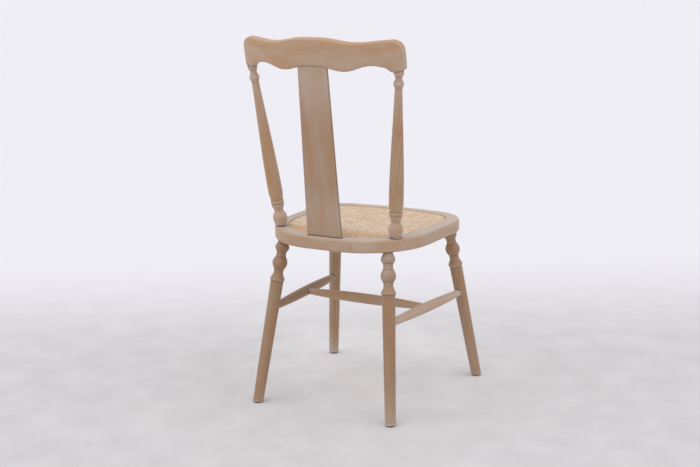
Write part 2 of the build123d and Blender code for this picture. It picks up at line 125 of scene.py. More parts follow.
@dataclass(frozen=True)
class Blots:
    """Blots of a second colour, drawn with noise."""

    size_mm: float  # Width of a blot
    low: float  # How high the noise is where a blot starts
    high: float  # How high it is where the blot is full
    most: float  # The share of the second colour in a full blot
    detail: float  # How ragged the blots are
    rough: float = 0.5  # How much the finer noise counts against the coarser
    # How much the noise is drawn out along local Z, where 0.1 makes blots ten times as long
    squeeze: float = 1.0
    # Moves the pattern, so that it differs from another one of its kind
    shift: Triple = (0.0, 0.0, 0.0)
    soft: bool = True  # Whether the blots end softly

    def draw(self, tree: Tree, place: Socket) -> tuple[Socket, Socket]:
        """Draws the blots.

        Args:
            tree: The node tree to add to.
            place: The place on the surface, in metres.

        Returns:
            The noise, and the share of the second colour.
        """
        add = partial(add_node, tree)
        moved = add(
            "VectorMath", (place, (1.0, 1.0, self.squeeze), self.shift), operation="MULTIPLY_ADD"
        )
        scale = NOISE_WIDTH / (self.size_mm * MILLIMETRE)
        noise = add(
            "TexNoise", {"Vector": moved, "Scale": scale, "Detail": self.detail, "Roughness": self.rough}
        )
        ramp = (noise, self.low, self.high, 0.0, self.most)
        return noise, add("MapRange", ramp, **(SMOOTH if self.soft else {}))


@dataclass(frozen=True)
class Finish:
    """What all the finishes share."""

    def draw(self, tree: Tree, place: Socket) -> dict[str, Linked]:
        """Draws the finish.

        Args:
            tree: The node tree to add to.
            place: The place on the surface, in metres.

        Returns:
            The shader's inputs, by name.
        """
        raise NotImplementedError

    def coats(self, tree: Tree, base: str, layers: Iterable[tuple[Linked, str]]) -> Socket:
        """Lays coats of colour over one another.

        Args:
            tree: The node tree to add to.
            base: The sRGB hex colour under them.
            layers: The share and the colour of each coat, the lowest first.

        Returns:
            The colour that the eye sees.
        """
        seen: Linked = linear_colour(base)
        for share, colour in layers:
            links = {MIX_FACTOR: share, MIX_A: seen, MIX_B: linear_colour(colour)}
            seen = add_node(tree, "Mix", links, MIX_RESULT, data_type="RGBA")
        return seen

    def material(self, name: str) -> Material:
        """Makes a material of the finish.

        Args:
            name: The material's name.

        Returns:
            The material.
        """
        made = bpy.data.materials.new(name)
        made.use_nodes = True
        tree = made.node_tree
        tree.nodes.clear()
        place = add_node(tree, "TexCoord", out="Object")
        surface = add_node(tree, "BsdfPrincipled", self.draw(tree, place))
        add_node(tree, "OutputMaterial", {"Surface": surface})
        return made


@dataclass(frozen=True)
class Blank:
    """The piece of timber that a wooden part is cut from, and how far it was rubbed back."""

    origin: Triple = (0.0, 0.0, 0.0)  # A point on the part's own axis, in metres
    along: Triple = ACROSS  # The direction of the fibres
    heart: Triple = (0.07, 0.03, 0.05)  # From the axis to the middle of the tree, in metres
    shift: float = 0.0  # A distance along the fibres that sets where the figure starts, in metres
    tone: float = 0.0  # How much darker this piece is, from 0 to 1: its stain, and under the seat also painted shade
    fade: Triple = (0.0, 0.0, 0.0)  # How the lime grows for each metre in each direction
    up_lime_and_highlight: float = 0.0  # How much more lime, and with it a painted highlight, is left where the piece faces up
    lime: float = 0.0  # How much more lime is left all over the piece
    half: float = 1.0  # Half of the piece's length, in metres, where its ends were rubbed back less
    ends: float = 0.0  # How much more lime is left at the two ends
    cove: float = 0.0  # How much more lime is left in the wide hollows of a turning
    # Where the rims and grooves of a turning are, as shares of its length from the low end, each with
    # 1 for a sharp rim, 0 for a sharp groove and 0.5 between them
    relief: Marks = ()
    paling: Triple = (0.0, 0.0, 0.0)  # How much paler the piece is for each metre in each direction; on the crest this paints the highlight of its rounded top
    edges: float = 0.0  # How much darker the sides that face across the chair are painted, as painted shade
    round_mm: float = 0.0  # How far from an arris the light already turns, where it was sanded round

    def mapping(self) -> tuple[Vector, Vector]:
        """Works out the turn and shift that put the fibres along local Z, and the heart at zero.

        Returns:
            The location and the rotation of a Mapping node.
        """
        axis = Vector(self.along).normalized()
        heart = Vector(self.heart)
        heart -= axis * heart.dot(axis)
        side = heart.normalized()
        basis = Matrix((side, axis.cross(side), axis))
        location = Vector((-heart.length, 0.0, self.shift)) - basis @ Vector(self.origin)
        return location, Vector(basis.to_euler("XYZ"))


@dataclass(frozen=True)
class LimedBeech(Finish):
    """Beech, brushed, stained, limed and rubbed back, then waxed."""

    blank: Blank = Blank()  # The piece of timber
    early: str = "BE9C7D"  # Colour of the soft part of each ring
    late: str = "AE8B6C"  # Colour of the hard part of each ring, and of the rays
    warm: str = "B5804F"  # Colour where the stain shows
    veil: str = "C2B3A8"  # Colour of the lime
    chalk_and_highlight: str = "DCD0C6"  # Colour of the thick lime on thin rims, which also stands for their painted highlight
    stain_and_shade: str = "654A38"  # Colour of stain in grooves, and of painted shade in creases
    sheen: str = "E6E0DA"  # Colour of the light that the chalky lime scatters
    ring_mm: float = 2.4  # Width of a yearly ring
    wander_mm: float = 9.091  # How far apart the bends of the rings are
    bend_mm: float = 4.0  # How far a ring bends, from side to side
    # Long patches where the stain shows
    stains: Blots = Blots(13.158, 0.36, 0.70, 0.46, 3.0, rough=0.55, squeeze=0.22)
    # Long patches where the lime stays
    limes: Blots = Blots(16.667, 0.38, 0.72, 0.42, 4.0, rough=0.6, squeeze=0.22, shift=(7.3, 2.9, 5.1))
    # The small rays that beech shows, a few millimetres long
    flecks: Blots = Blots(1.1, 0.60, 0.72, 0.30, 1.0, squeeze=0.30)
    # The brushed pores that hold lime, drawn coarser than the real 0.1 mm so that they show
    pores: Blots = Blots(0.45, 0.56, 0.74, 0.45, 2.0, squeeze=0.07)
    cove_mm: float = 30.0  # How far the walls of a wide hollow are from its middle
    crease_mm: float = 5.0  # How far the walls of a crease are
    roughness: float = 0.62  # Roughness of the waxed surface
    rim_chalk_and_highlight: float = 0.8  # How much chalk, with its painted highlight, lies on a sharp rim
    groove_stain: float = 0.5  # How much stain is left in a sharp groove
    crease_shade: float = 0.9  # How dark the painted shade in a sharp crease is
    painted_sheen: float = 0.32  # Painted sheen: how much paler, in the lime's colour, the surface is where it turns away
    end_start: float = 0.13  # How far from an end its own lime starts, in metres
    end_full: float = 0.02  # How far from an end it is full
    end_pale: float = 0.22  # How much paler the ends are, as a share of their lime

    def rings(self, tree: Tree, grain: Socket) -> Socket:
        """Draws the yearly rings round the heart, bent a little along the tree.

        Args:
            tree: The node tree to add to.
            grain: The place in the tree, with the fibres along Z.

        Returns:
            The share of the hard part, which grows through the ring and ends sharply.
        """
        add = partial(add_node, tree)
        slow = add("VectorMath", (grain, (1.0, 1.0, 0.06)), operation="MULTIPLY")
        scale = NOISE_WIDTH / (self.wander_mm * MILLIMETRE)
        wander = add(
            "TexNoise", {"Vector": slow, "Scale": scale, "Detail": 2.0, "Roughness": 0.45}, "Color"
        )
        bend = self.bend_mm * MILLIMETRE
        bent = add("VectorMath", (wander, (bend, bend, 0.0), grain), operation="MULTIPLY_ADD")
        flat = add("VectorMath", (bent, (1.0, 1.0, 0.0)), operation="MULTIPLY")
        radius = add("VectorMath", (flat,), "Value", operation="LENGTH")
        count = add("Math", (radius, 1.0 / (self.ring_mm * MILLIMETRE)), operation="MULTIPLY")
        phase = add("Math", (count,), operation="FRACT")
        grown = add("MapRange", (phase, 0.25, 0.92), **SMOOTH)
        ending = add("MapRange", (phase, 0.92, 1.0, 1.0, 0.0))
        return add("Math", (grown, ending), operation="MULTIPLY")

    def height(self, tree: Tree, run: Socket) -> Linked:
        """Draws the rims and grooves of a turning along its length.

        Args:
            tree: The node tree to add to.
            run: The distance from the piece's middle along its line.

        Returns:
            1 on a sharp rim, 0 in a sharp groove and 0.5 between them.
        """
        if not self.blank.relief:
            return 0.5
        half = self.blank.half
        share = add_node(tree, "MapRange", (run, -half, half))
        ramp = add_node(tree, "ValToRGB", {"Fac": share})
        elements = ramp.node.color_ramp.elements
        elements[0].color = elements[1].color = (0.5, 0.5, 0.5, 1.0)
        for position, value in self.blank.relief:
            elements.new(position).color = (value, value, value, 1.0)
        return ramp

    def draw(self, tree: Tree, place: Socket) -> dict[str, Linked]:
        """Draws the finish of one blank.

        Args:
            tree: The node tree to add to.
            place: The place on the surface, in metres.

        Returns:
            The shader's inputs, by name.
        """
        add = partial(add_node, tree)
        # Liming leaves a dry, chalky veil on the high places and in the pores. Rubbing back lets the
        # warm stain show in patches, so that the eye sees a colour between grey and tan
        blank = self.blank
        location, rotation = blank.mapping()
        grain = add("Mapping", {"Vector": place, "Location": location, "Rotation": rotation})
        rings = self.rings(tree, grain)
        _, stained = self.stains.draw(tree, grain)
        lime_noise, lime = self.limes.draw(tree, grain)
        _, flecked = self.flecks.draw(tree, grain)
        pore_noise, pored = self.pores.draw(tree, grain)

        # Distances from the piece's middle: along it, and as the lime and the tone fade
        offset = add("VectorMath", (place, blank.origin), operation="SUBTRACT")
        ways = (Vector(blank.along).normalized(), blank.fade, blank.paling)
        run, faded, paled = (
            add("VectorMath", (offset, way), "Value", operation="DOT_PRODUCT") for way in ways
        )
        reached = add("Math", (run,), operation="ABSOLUTE")
        ends = (reached, blank.half - self.end_start, blank.half - self.end_full)
        end_share = add("MapRange", ends, **SMOOTH)

        # More lime at the ends, in wide hollows, and where the piece faces up, which there is also a
        # painted highlight, and a painted pale sheen where its surface turns away from the eye
        up = add("SeparateXYZ", (add("NewGeometry", out="Normal"),), "Z")
        # Lime and painted highlight where the piece faces up
        up_lime_and_highlight = (up, 0.55, 0.95, 0.0, blank.up_lime_and_highlight)
        opened = add("AmbientOcclusion", {"Distance": self.cove_mm * MILLIMETRE}, "AO", samples=8)
        coved = (opened, 0.55, 0.98, blank.cove, 0.0)
        # Painted sheen: the colour turns paler where the surface turns away from the eye
        turned = add("LayerWeight", {"Blend": 0.5}, "Facing")
        painted_sheen_ramp = (turned, 0.30, 0.85, 0.0, self.painted_sheen)
        lime = add("Math", (lime, faded), operation="ADD")
        ended = add("Math", (end_share, blank.ends, blank.lime), operation="MULTIPLY_ADD")
        lime = add("Math", (lime, ended), operation="ADD")
        for links in (painted_sheen_ramp, up_lime_and_highlight, coved):
            lime = add("Math", (lime, add("MapRange", links)), operation="ADD")

        # Chalk and painted highlight on rims, stain in grooves, and painted shade in creases
        height = self.height(tree, run)
        rim_paling = add("MapRange", (height, 0.5, 1.0, 0.0, self.rim_chalk_and_highlight))
        grooved = add("MapRange", (height, 0.0, 0.5, self.groove_stain, 0.0))
        # Painted shade: occlusion darkens creases and the joints between parts
        crease = add("AmbientOcclusion", {"Distance": self.crease_mm * MILLIMETRE}, "AO", samples=8)
        painted_crease_shade = add("MapRange", (crease, 0.45, 0.96, self.crease_shade, 0.0))
        stain_and_crease_shade = add("Math", (painted_crease_shade, grooved), operation="MAXIMUM")
        under = ((rings, self.late), (stained, self.warm), (lime, self.veil), (rim_paling, self.chalk_and_highlight))
        over = ((flecked, self.late), (pored, self.veil), (stain_and_crease_shade, self.stain_and_shade))
        colour = self.coats(tree, self.early, under + over)

        # The piece's tone, which under the seat is partly painted shade, a little paler at its ends
        paler = self.end_pale * blank.ends
        value = add("Math", (end_share, paler, 1.0 - blank.tone), operation="MULTIPLY_ADD")
        # On the crest, the paling towards its top is a painted highlight
        value = add("Math", (value, paled), operation="ADD")
        # Painted shade on the sides that face across the chair
        sideways = add("Math", (up.node.outputs["X"],), operation="ABSOLUTE")
        painted_side_shade = (sideways, 0.6, 0.9, 1.0, 1.0 - blank.edges)
        value = add("Math", (value, add("MapRange", painted_side_shade)), operation="MULTIPLY")
        toned = add("HueSaturation", {"Value": value, "Color": colour})

        # Rings and pores stand a few hundredths of a millimetre in relief
        relief = add("Math", (pore_noise, 0.6, rings), operation="MULTIPLY_ADD")
        bump: dict[str, Linked] = {"Strength": 0.35, "Distance": 0.15 * MILLIMETRE, "Height": relief}
        if blank.round_mm:
            bump["Normal"] = add("Bevel", {"Radius": blank.round_mm * MILLIMETRE}, samples=6)
        low, high = self.roughness - 0.08, self.roughness + 0.12
        worn = (lime_noise, 0.3, 0.7, low, high)
        return {
            "Base Color": toned,
            "Roughness": add("MapRange", worn),
            "IOR": 1.45,
            "Sheen Weight": 0.45,
            "Sheen Roughness": 0.35,
            "Sheen Tint": linear_colour(self.sheen),
            "Normal": add("Bump", bump),
        }


@dataclass(frozen=True)
class SplitCane(Finish):
    """Rattan cane, split into thin strands, with the glossy skin of the vine outside."""

    light: str = "F9EBDC"  # Colour of a pale strand
    dark: str = "DFC1A0"  # Colour of a tanned strand
    # Colour that the strands turn towards the back rail, warmer and darker
    rear_band: str = "DCAD74"
    mark: str = "A97F55"  # Colour of the vine's darker nodes and bruises, and of the painted shade where a strand passes under another
    # Width of the lengthwise streaks, drawn coarser than the real 0.1 mm so that they show
    fibre_mm: float = 0.5
    patch_mm: float = 11.905  # Width of the patches that are paler or darker
    bruises: Blots = Blots(2.381, 0.66, 0.78, 0.55, 1.0)  # The nodes and bruises
    rear_start: float = 0.085  # Where the warmer band starts, in metres behind the chair's middle
    rear_full: float = 0.14  # Where it is full
    rear_most: float = 0.32  # The share of the band's colour there
    # How much the band by the back rail, the streaks and the patches count in a strand's tone
    weights: Triple = (1.1, 0.55, 1.3)
    crossing_mm: float = 3.0  # How near another strand is where one passes under it
    crossing_shade: float = 0.4  # How dark the painted shade on a strand is there
    roughness: float = 0.6  # Roughness of the vine's skin

    def draw(self, tree: Tree, place: Socket) -> dict[str, Linked]:
        """Draws the finish. It reads each strand's own tone and run from the mesh.

        Args:
            tree: The node tree to add to.
            place: The place on the surface, in metres.

        Returns:
            The shader's inputs, by name.
        """
        add = partial(add_node, tree)
        # The skin has a soft gloss along each strand, and no two strands have the same tone, so that
        # the eye can follow one strand through the weave
        tone = add("Attribute", out="Fac", attribute_name="strand")
        run = add("Attribute", out="Vector", attribute_name="along")
        drawn = add("VectorMath", (run, (1.0, 0.05, 1.0)), operation="MULTIPLY")
        scale = NOISE_WIDTH / (self.fibre_mm * MILLIMETRE)
        streak = add("TexNoise", {"Vector": drawn, "Scale": scale, "Detail": 2.0})
        scale = NOISE_WIDTH / (self.patch_mm * MILLIMETRE)
        patch = add("TexNoise", {"Vector": place, "Scale": scale, "Detail": 4.0, "Roughness": 0.7})
        backward = add("SeparateXYZ", (place,), "Y")
        towards_rear = add("MapRange", (backward, self.rear_start, self.rear_full), **SMOOTH)
        for part, weight in zip((towards_rear, streak, patch), self.weights):
            tone = add("Math", (part, weight, tone), operation="MULTIPLY_ADD")
        darkened = add("MapRange", (tone, 0.75, 1.95), **SMOOTH)
        rear_band = add("Math", (towards_rear, self.rear_most), operation="MULTIPLY")
        _, bruised = self.bruises.draw(tree, place)
        # Painted shade: a strand darkens where another passes close over it
        near = add("AmbientOcclusion", {"Distance": self.crossing_mm * MILLIMETRE}, "AO", samples=4)
        under = add("MapRange", (near, 0.2, 0.8, self.crossing_shade, 0.0))
        layers = ((darkened, self.dark), (rear_band, self.rear_band), (bruised, self.mark), (under, self.mark))
        return {
            "Base Color": self.coats(tree, self.light, layers),
            "Roughness": self.roughness,
            "IOR": 1.5,
            "Specular IOR Level": 0.3,
            "Normal": add("Bump", {"Strength": 0.4, "Distance": 0.1 * MILLIMETRE, "Height": streak}),
        }


@dataclass(frozen=True)
class MouldedPolyethylene(Finish):
    """Dark polyethylene, moulded, with the faint mottling of a cheap glide."""

    colour: str = "75655A"  # The plastic's colour
    scuff: str = "8F8277"  # Colour of dust and scuffs
    scuffs: Blots = Blots(1.2, 0.5, 0.8, 0.5, 3.0, soft=False)  # The scuffs
    roughness: float = 0.5  # Roughness of the moulded skin

    def draw(self, tree: Tree, place: Socket) -> dict[str, Linked]:
        """Draws the finish.

        Args:
            tree: The node tree to add to.
            place: The place on the surface, in metres.

        Returns:
            The shader's inputs, by name.
        """
        add = partial(add_node, tree)
        # The mould leaves a waxy half gloss, which the floor's dust dulls in spots
        grit, scuffed = self.scuffs.draw(tree, place)
        worn = (grit, 0.0, 1.0, self.roughness - 0.1, self.roughness + 0.2)
        return {
            "Base Color": self.coats(tree, self.colour, ((scuffed, self.scuff),)),
            "Roughness": add("MapRange", worn),
            "IOR": 1.51,
            "Normal": add("Bump", {"Strength": 0.3, "Distance": 0.1 * MILLIMETRE, "Height": grit}),
        }


@dataclass(frozen=True)
class DrawnSteel(Finish):
    """Mild steel wire, drawn and headed, bright with fine rings from the die."""

    colour: str = "B9B7B2"  # The metal's colour
    stain: str = "8A7563"  # Colour of the first rust
    rust: Blots = Blots(0.8333, 0.55, 0.8, 0.6, 3.0, soft=False)  # The spots of rust
    # Spacing of the die's rings, drawn coarser than the real 0.1 mm so that they show
    ring_mm: float = 1.885
    roughness: float = 0.35  # Roughness of the drawn wire

    def draw(self, tree: Tree, place: Socket) -> dict[str, Linked]:
        """Draws the finish.

        Args:
            tree: The node tree to add to.
            place: The place on the surface, in metres.

        Returns:
            The shader's inputs, by name.
        """
        add = partial(add_node, tree)
        # The die's rings break the wire's bright line of light, and rust takes it away in spots
        blotch, rusted = self.rust.draw(tree, place)
        scale = WAVE_LENGTH / (self.ring_mm * MILLIMETRE)
        waves = {"Vector": place, "Scale": scale, "Distortion": 0.4}
        rings = add("TexWave", waves, "Fac", bands_direction="Z")
        worn = (blotch, 0.0, 1.0, self.roughness - 0.1, self.roughness + 0.2)
        return {
            "Base Color": self.coats(tree, self.colour, ((rusted, self.stain),)),
            "Metallic": 1.0,
            "Roughness": add("MapRange", worn),
            "Normal": add("Bump", {"Strength": 0.2, "Distance": 0.05 * MILLIMETRE, "Height": rings}),
        }


@dataclass(frozen=True)
class PaintedFloor(Finish):
    """Studio floor, painted with a roller, paler behind the chair and far from it, with a painted pool
    of light under the chair.
    """

    near: str = "D7D4D7"  # Colour of the floor near the chair
    far: str = "EBE9F0"  # Colour of the floor and the background far behind it
    # Colour of the painted pool of light under the chair, which lightens the chair's shadow there
    middle: str = "F1EFF2"
    light_pool_centre: Triple = (0.06, -0.19, 0.0)  # The middle of that painted pool of light, in metres
    away: Triple = (0.0, 1.0, 0.0)  # The level direction from the camera
    cloud_mm: float = 55.556  # Width of the clouds in the paint
    clouded: float = 0.91  # How bright the darkest cloud is, against the plain paint
    roughness: float = 0.9  # Roughness of the matt paint

    def draw(self, tree: Tree, place: Socket) -> dict[str, Linked]:
        """Draws the finish.

        Args:
            tree: The node tree to add to.
            place: The place on the surface, in metres.

        Returns:
            The shader's inputs, by name.
        """
        add = partial(add_node, tree)
        # Matt paint shows no highlight, only the chair's soft shadow, lightened by a painted pool of
        # light, and faint clouds near it
        depth = add("VectorMath", (place, self.away), "Value", operation="DOT_PRODUCT")
        reach = add("VectorMath", (place,), "Value", operation="LENGTH")
        behind = add("MapRange", (depth, 0.25, 1.5), **SMOOTH)
        outside = add("MapRange", (reach, 2.5, 6.0), **SMOOTH)
        share = add("Math", (behind, outside), operation="MAXIMUM")
        scale = NOISE_WIDTH / (self.cloud_mm * MILLIMETRE)
        cloud = add("TexNoise", {"Vector": place, "Scale": scale, "Detail": 5.0, "Roughness": 0.6})
        low = add("MapRange", (share, 0.0, 1.0, self.clouded))
        worn = add("MapRange", (cloud, 0.35, 0.65, low))
        centred = add("VectorMath", (place, self.light_pool_centre), "Value", operation="DISTANCE")
        light_pool_ramp = (centred, 0.05, 0.50, 1.0, 0.0)
        painted_light_pool = add("MapRange", light_pool_ramp, **SMOOTH)
        colour = self.coats(tree, self.near, ((share, self.far), (painted_light_pool, self.middle)))
        return {
            "Base Color": add("HueSaturation", {"Value": worn, "Color": colour}),
            "Roughness": self.roughness,
            "Specular IOR Level": 0.1,
        }


def node_points(node: str) -> Rows:
    """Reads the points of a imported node, as rows of x, y and z in metres."""
    return np.array([v.co[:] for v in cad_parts[node].data.vertices])


def dress(node: str, material: Material) -> None:
    """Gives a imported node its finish.

    Args:
        node: The node's name.
        material: The finish.
    """
    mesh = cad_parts[node].data
    mesh.materials.clear()
    mesh.materials.append(material)
    log.info("%s is dressed in %s", node, material.name)


def joined_rings(a: int, b: int, corners: int) -> list[tuple[int, int, int, int]]:
    """Joins two rings of points with four-sided faces.

    Args:
        a: Number of the first ring's first point.
        b: Number of the second ring's first point.
        corners: How many points each ring has.

    Returns:
        The corner numbers of each face.
    """
    return [(a + c, b + c, b + (c + 1) % corners, a + (c + 1) % corners) for c in range(corners)]


def new_piece(
    name: str, points: Rows, faces: Sequence[Sequence[int]], material: Material
) -> Piece:
    """Makes a smooth mesh object from points and faces.

    Args:
        name: The object's name.
        points: Rows of x, y and z, in metres.
        faces: The corner numbers of each face.
        material: The finish.

    Returns:
        The object, linked to the scene.
    """
    mesh = bpy.data.meshes.new(name)
    mesh.from_pydata(points.tolist(), [], list(faces))
    mesh.update()
    mesh.polygons.foreach_set("use_smooth", [True] * len(mesh.polygons))
    mesh.materials.append(material)
    made = bpy.data.objects.new(name, mesh)
    bpy.context.scene.collection.objects.link(made)
    return made


@dataclass
class Timber:
    """All the pieces of limed beech, each cut from its own blank."""

    finish: LimedBeech = field(default_factory=LimedBeech)  # The finish of all of them
    # The plain beech of the dowels, which was never limed
    dowel_finish: LimedBeech = LimedBeech(
        Blank((0.0, 0.0, 0.44)), early="CDB595", late="BC9F7C", warm="C0A27C", veil="D6C3A8"
    )
    # Foot and head of the left back post, in metres
    back_post: Line = ((0.1672, 0.1260, 0.460), (0.2080, 0.1763, 0.8800))
    # Foot and top of the left front leg
    front_leg: Line = ((0.2283, -0.2344, 0.0), (0.1745, -0.1688, 0.427))
    # Foot and top of the left back leg
    back_leg: Line = ((0.1970, 0.2204, 0.0), (0.1534, 0.1407, 0.427))
    # Back and front end of the left side stretcher's line
    side_stretcher: Line = ((0.1715, 0.1739, 0.2494), (0.1975, -0.1969, 0.2442))
    # Left and right end of the cross stretcher's line
    cross_stretcher: Line = ((0.1848, -0.0156, 0.2467), (-0.1848, -0.0156, 0.2467))
    turned_ends: float = 0.35  # How much lime is added at the ends of most turned pieces
    turned_cove: float = 0.40  # How much is added in their coves
    step_mm: float = 0.5  # How finely a turned profile is read
    window: int = 12  # How many steps to each side the smoothing takes in
    smooth_mm: float = 1.8  # How much the profile is smoothed to find its rims and grooves
    sharp_mm: float = 0.5  # How far a full rim stands out of the smoothed profile
    faint: float = 0.3  # The least share of a full rim that is drawn
    most_marks: int = 9  # The most rims and grooves on one piece
    hidden_steps: int = 8  # How many steps at each end are in the joints
    # Width of the lime and painted highlight on each side of a rim, drawn a little wider than the real
    # one so that it shows
    mark_mm: float = 1.9
    wear: float = 0.6  # How much more the high rims were rubbed back than the low ones

    def turned(
        self, node: str, line: Line, seed: int, tone: float, lime: float, ends: float | None = None
    ) -> None:
        """Dresses a turned piece, with the fibres along its own line.

        Args:
            node: The node's name.
            line: The left piece's line, which is mirrored for a right one.
            seed: A number that sets the figure.
            tone: How much darker the piece is.
            lime: How much lime is added all over it, or taken off.
            ends: How much lime is added at its ends, where that isn't the usual share.
        """
        side = -1 if node.endswith("right") else 1
        low, high = (Vector((side * x, y, z)) for x, y, z in line)
        along = (high - low).normalized()
        turn = 1.9 * seed
        upright = abs(along.z) > 0.5
        heart = Vector((math.cos(turn), math.sin(turn), 0.0) if upright else (0.0, 0.3, 1.0))
        heart = heart.normalized() * (0.06 + 0.013 * (seed % 4))
        blank = Blank(
            tuple((low + high) / 2), tuple(along), tuple(heart), 0.31 * seed, tone, lime=lime,
            half=(high - low).length / 2, ends=self.turned_ends if ends is None else ends,
            cove=self.turned_cove, relief=self.relief(node, low, high),
        )
        dress(node, replace(self.finish, blank=blank).material(f"limed_beech_{node}"))

    def profile(self, node: str, low: Vector, high: Vector) -> Rows:
        """Measures a turned piece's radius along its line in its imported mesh.

        Args:
            node: The node's name.
            low: A point on the piece's line.
            high: Another point on it.

        Returns:
            The outermost point of any edge in each step along the line, in metres.
        """
        step = self.step_mm * MILLIMETRE
        points = node_points(node) - np.array(low)
        first, last = np.array([e.vertices[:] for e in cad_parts[node].data.edges]).T
        length = (high - low).length
        along = np.array((high - low) / length)
        run = points @ along
        radius = np.linalg.norm(points - run[:, None] * along, axis=1)
        count = (np.abs(run[last] - run[first]) / step).astype(int) + 2
        edge = np.repeat(np.arange(len(first)), count)
        nth = np.arange(count.sum()) - np.repeat(np.cumsum(count) - count, count)
        share = nth / (count[edge] - 1)
        cell = np.round((run[first][edge] * (1 - share) + run[last][edge] * share) / step).astype(int)
        reach = radius[first][edge] * (1 - share) + radius[last][edge] * share
        found = np.zeros(int(length / step) + 1)
        inside = (cell >= 0) & (cell < len(found))
        np.maximum.at(found, cell[inside], reach[inside])
        return found

    def relief(self, node: str, low: Vector, high: Vector) -> Marks:
        """Finds the rims and grooves of a turned piece.

        Args:
            node: The node's name.
            low: A point on the piece's line.
            high: Another point on it.

        Returns:
            Their places as shares of the way between the points, with neutral places on both
            sides of each.
        """
        step, width = self.step_mm * MILLIMETRE, self.mark_mm * MILLIMETRE
        length = (high - low).length
        profile = self.profile(node, low, high)

        # What stands out of the smoothed profile, the sharpest first
        offset = np.arange(-self.window, self.window + 1) * step
        weight = np.exp(-0.5 * (offset / (self.smooth_mm * MILLIMETRE)) ** 2)
        wide = np.pad(profile, self.window, mode="edge")
        smoothed = np.convolve(wide, weight / weight.sum(), mode="valid")
        score = (profile - smoothed) / (self.sharp_mm * MILLIMETRE)
        score[: self.hidden_steps] = score[-self.hidden_steps :] = 0.0
        picked: list[int] = []
        for i in np.argsort(-np.abs(score), kind="stable"):
            if abs(score[i]) < self.faint or len(picked) == self.most_marks:
                break
            if all(abs(i - j) * step > width for j in picked):
                picked.append(int(i))

        stops: list[tuple[float, float]] = []
        for i in sorted(picked):
            place = i * step
            worn = 1 - self.wear * place / length if score[i] > 0 else -1
            if not stops or place - width > stops[-1][0]:
                stops.append((place - width, 0.5))
            else:
                stops.pop()
            value = 0.5 + 0.5 * worn * math.sqrt(min(1.0, abs(score[i])))
            stops += [(place, value), (place + width, 0.5)]
        log.info("%s has %d rims and grooves", node, len(picked))
        return tuple((float(np.clip(place / length, 0.001, 0.999)), value) for place, value in stops)

    def sawn(self, node: str, blank: Blank) -> None:
        """Dresses a sawn piece.

        Args:
            node: The node's name.
            blank: The timber it is cut from, which is put at the middle of the node's box.
        """
        low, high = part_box(node)
        placed = replace(blank, origin=tuple((low + high) / 2))
        dress(node, replace(self.finish, blank=placed).material(f"limed_beech_{node}"))

    def dress_back(self) -> None:
        """Dresses the crest rail, the splat and both back posts."""
        crest = Blank(
            heart=(0.0, 0.06, -0.30), shift=0.81, tone=-0.025, fade=(-0.4, 0.0, -1.6), up_lime_and_highlight=-0.6,
            lime=0.05, paling=(0.12, 0.0, 0.8), round_mm=4.5,
        )
        splat = Blank(
            along=(0.0, 0.096, 0.995), heart=(0.16, 0.07, 0.0), shift=1.35, tone=0.18, half=0.19,
            ends=0.3, fade=(0.0, 0.0, 0.3), paling=(0.0, 0.0, 0.2), edges=0.3, round_mm=1.5,
        )
        self.sawn("crest_rail", crest)
        self.sawn("splat", splat)
        self.turned("back_post_left", self.back_post, seed=5, tone=0.06, lime=-0.12)
        self.turned("back_post_right", self.back_post, seed=3, tone=0.11, lime=-0.14)

    def dress_seat_frame(self) -> None:
        """Dresses the six segments of the seat frame and the dowels in their joints."""
        long_rail = Blank(heart=(0.0, 0.10, -0.26))
        front = replace(long_rail, shift=0.27, tone=-0.04, up_lime_and_highlight=0.25)
        back = replace(long_rail, shift=0.54, tone=0.10, up_lime_and_highlight=0.45, lime=0.13)
        self.sawn("seat_rail_front", front)
        self.sawn("seat_rail_back", back)
        for side, name, tone, lime in ((1, "left", 0.12, 0.0), (-1, "right", 0.03, 0.07)):
            rail = Blank(
                along=(-0.07 * side, 1.0, 0.0), heart=(0.1, 0.0, -0.24), shift=1.6 + side, tone=tone,
                up_lime_and_highlight=0.4, lime=lime,
            )
            corner = Blank(
                along=(side * 0.75, -0.66, 0.0), heart=(0.1, 0.1, -0.24), shift=2.7 + side,
                tone=0.06 + 0.01 * side, up_lime_and_highlight=0.3, lime=0.1 - 0.1 * side,
            )
            self.sawn(f"seat_rail_{name}", rail)
            self.sawn(f"seat_corner_{name}", corner)
        dress("frame_dowels", self.dowel_finish.material("plain_beech_dowels"))

    def dress_underframe(self) -> None:
        """Dresses the legs and the stretchers."""
        # These tones are partly painted shade from the seat above the legs and stretchers
        self.turned("leg_front_left", self.front_leg, seed=13, tone=0.17, lime=-0.08)
        self.turned("leg_front_right", self.front_leg, seed=11, tone=0.22, lime=-0.12, ends=0.08)
        self.turned("leg_back_left", self.back_leg, seed=17, tone=0.29, lime=-0.17, ends=0.05)
        self.turned("leg_back_right", self.back_leg, seed=15, tone=0.30, lime=-0.16, ends=0.45)
        side, cross = self.side_stretcher, self.cross_stretcher
        self.turned("side_stretcher_left", side, seed=21, tone=0.30, lime=-0.24, ends=0.15)
        self.turned("side_stretcher_right", side, seed=19, tone=0.0, lime=0.22, ends=0.1)
        self.turned("cross_stretcher", cross, seed=24, tone=0.08, lime=-0.08, ends=0.2)


class Strand(Enum):
    """The four directions of strands in the six-way weave, as x and y."""

    BACKWARD = (0.0, 1.0)
    ACROSS = (1.0, 0.0)
    RISING = (math.sqrt(0.5), math.sqrt(0.5))
    FALLING = (math.sqrt(0.5), -math.sqrt(0.5))

    @property
    def diagonal(self) -> bool:
        """Tells the single diagonal strands from the paired ones."""
        return self in (Strand.RISING, Strand.FALLING)


